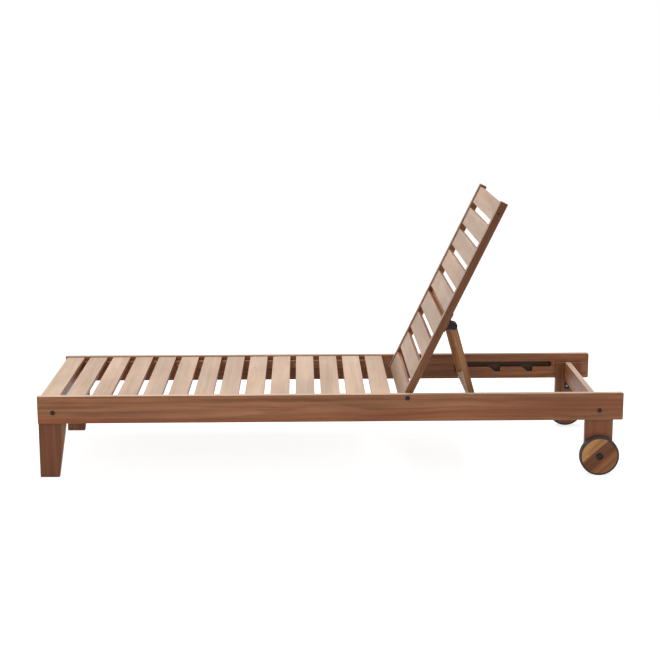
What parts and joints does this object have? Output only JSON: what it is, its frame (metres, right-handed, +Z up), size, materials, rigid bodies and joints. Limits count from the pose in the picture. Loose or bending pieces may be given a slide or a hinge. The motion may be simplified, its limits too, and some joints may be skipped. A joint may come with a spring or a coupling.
{
  "type": "sun lounger",
  "caption": "Low slatted hardwood sun lounger with tapered foot legs, notched side rails, a propped adjustable back and wooden wheels at the head end.",
  "frame": {"origin": "on the floor, under the middle of the lounger", "axes": "+X along the lounger to its head end, +Z up, -Y the lying person's left"},
  "size_m": [2, 0.674, 0.9424],
  "materials": {
    "rail_wood": "oiled, satin",
    "stile_wood": "oiled, satin",
    "leg_wood": "oiled, satin",
    "seat_slat_wood": "oiled, satin",
    "back_slat_wood": "oiled, satin",
    "prop_wood": "oiled, satin",
    "wheel_wood": "oiled, satin",
    "dowel_wood": "plain",
    "black_steel": "satin black",
    "zinc_steel": "zinc plated",
    "tyre_rubber": "matt",
    "bush_plastic": "matt"
  },
  "bodies": {
    "frame": {"axle_bolts": "black_steel", "axle_lock_nuts": "black_steel", "axle_spacers": "black_steel", "corner_brackets": "black_steel", "foot_cross_rail": "leg_wood", "foot_leg_left": "leg_wood", "foot_leg_right": "leg_wood", "frame_barrel_nuts": "zinc_steel", "frame_bolts": "black_steel", "frame_screws": "zinc_steel", "head_cross_rail": "leg_wood", "pivot_bolts": "black_steel", "pivot_spacers": "zinc_steel", "seat_ledger_left": "leg_wood", "seat_ledger_right": "leg_wood", "seat_slat_01": "seat_slat_wood", "seat_slat_02": "seat_slat_wood", "seat_slat_03": "seat_slat_wood", "seat_slat_04": "seat_slat_wood", "seat_slat_05": "seat_slat_wood", "seat_slat_06": "seat_slat_wood", "seat_slat_07": "seat_slat_wood", "seat_slat_08": "seat_slat_wood", "seat_slat_09": "seat_slat_wood", "seat_slat_10": "seat_slat_wood", "seat_slat_11": "seat_slat_wood", "seat_slat_12": "seat_slat_wood", "seat_slat_13": "seat_slat_wood", "seat_slat_14": "seat_slat_wood", "seat_slat_screws": "zinc_steel", "side_rail_left": "rail_wood", "side_rail_right": "rail_wood", "wheel_leg_left": "leg_wood", "wheel_leg_right": "leg_wood"},
    "back": {"back_hinge_batten": "back_slat_wood", "back_screws": "zinc_steel", "back_slat_01": "back_slat_wood", "back_slat_02": "back_slat_wood", "back_slat_03": "back_slat_wood", "back_slat_04": "back_slat_wood", "back_slat_05": "back_slat_wood", "back_slat_06": "back_slat_wood", "back_slat_07": "back_slat_wood", "back_slat_08": "back_slat_wood", "back_slat_09": "back_slat_wood", "back_slat_dowels": "dowel_wood", "back_stile_left": "stile_wood", "back_stile_right": "stile_wood", "pivot_inserts": "zinc_steel", "prop_brackets": "black_steel", "prop_hinge_pins": "black_steel"},
    "prop": {"prop_bar": "prop_wood", "prop_leg_left": "prop_wood", "prop_leg_right": "prop_wood"},
    "wheel_left": {"wheel_disc_left": "wheel_wood", "wheel_tyre_left": "tyre_rubber", "hub_bush_left": "bush_plastic"},
    "wheel_right": {"wheel_disc_right": "wheel_wood", "wheel_tyre_right": "tyre_rubber", "hub_bush_right": "bush_plastic"}
  },
  "joints": [
    {"name": "back_recline", "type": "hinge", "parent": "frame", "child": "back", "pos_m": [0.26, 0, 0.2745], "axis": [0, 1, 0], "range_deg": [0, 64.2]},
    {"name": "prop_swing", "type": "hinge", "parent": "back", "child": "prop", "pos_m": [0.42159, 0, 0.50883], "axis": [0, 1, 0], "range_deg": [-142.5, 0]},
    {"name": "wheel_left_spin", "type": "hinge", "parent": "frame", "child": "wheel_left", "pos_m": [0.921, -0.325, 0.068], "axis": [0, 1, 0], "continuous": true},
    {"name": "wheel_right_spin", "type": "hinge", "parent": "frame", "child": "wheel_right", "pos_m": [0.921, 0.325, 0.068], "axis": [0, 1, 0], "continuous": true}
  ],
  "couplings": [
    {"joint": "prop_swing", "follows": "back_recline", "ratio": -2.212}
  ]
}
